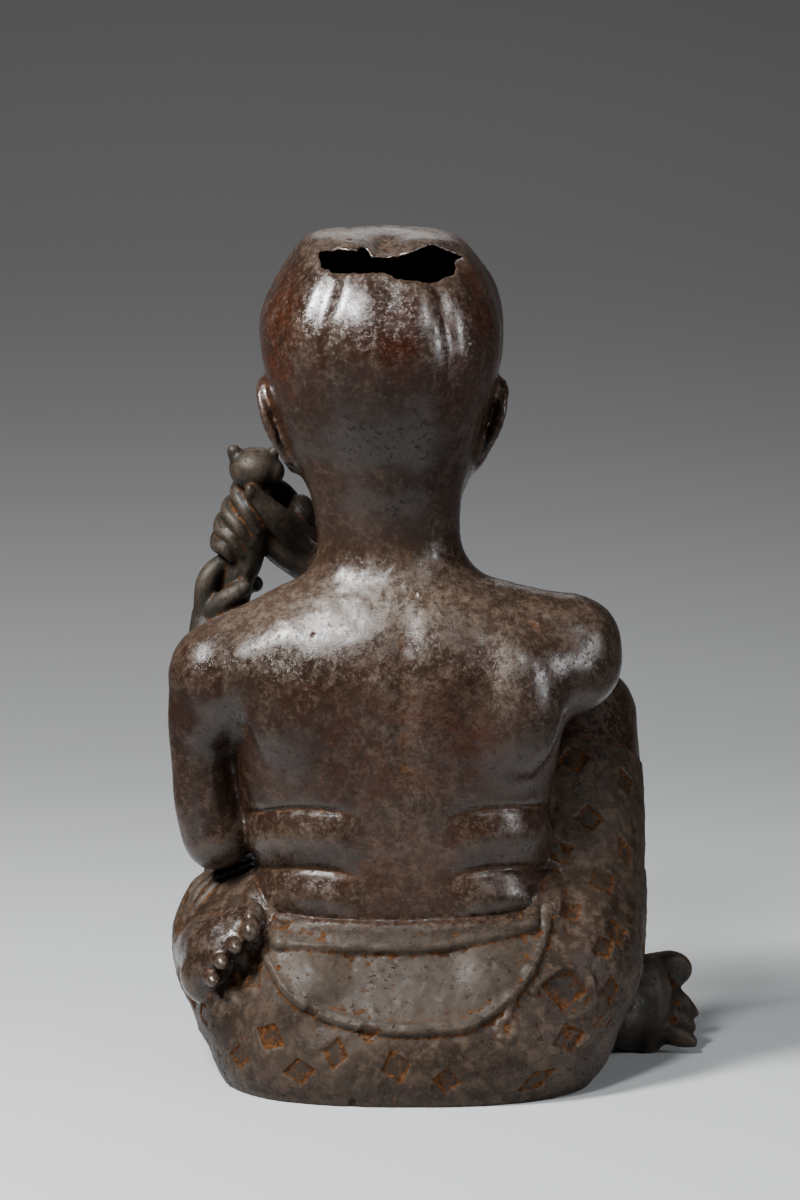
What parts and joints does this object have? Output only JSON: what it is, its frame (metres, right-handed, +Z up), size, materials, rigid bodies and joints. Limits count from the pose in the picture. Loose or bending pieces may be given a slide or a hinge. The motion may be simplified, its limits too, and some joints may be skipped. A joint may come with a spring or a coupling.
{
  "type": "seated bronze figure",
  "caption": "Cast bronze figure seated on the ground, one knee raised, both hands on a shaft with a small animal head, the hollow head broken open at the back.",
  "frame": {"origin": "on the flat underside, below the middle of the trunk", "axes": "+Z up, the figure faces -Y, its left side is +X"},
  "size_m": [0.3545, 0.2552, 0.5595],
  "materials": {
    "bronze": "old cast bronze, dark brown patina, worn satin, with earth in the hollows"
  },
  "bodies": {
    "root": {"seated_figure": "bronze"}
  },
  "joints": []
}
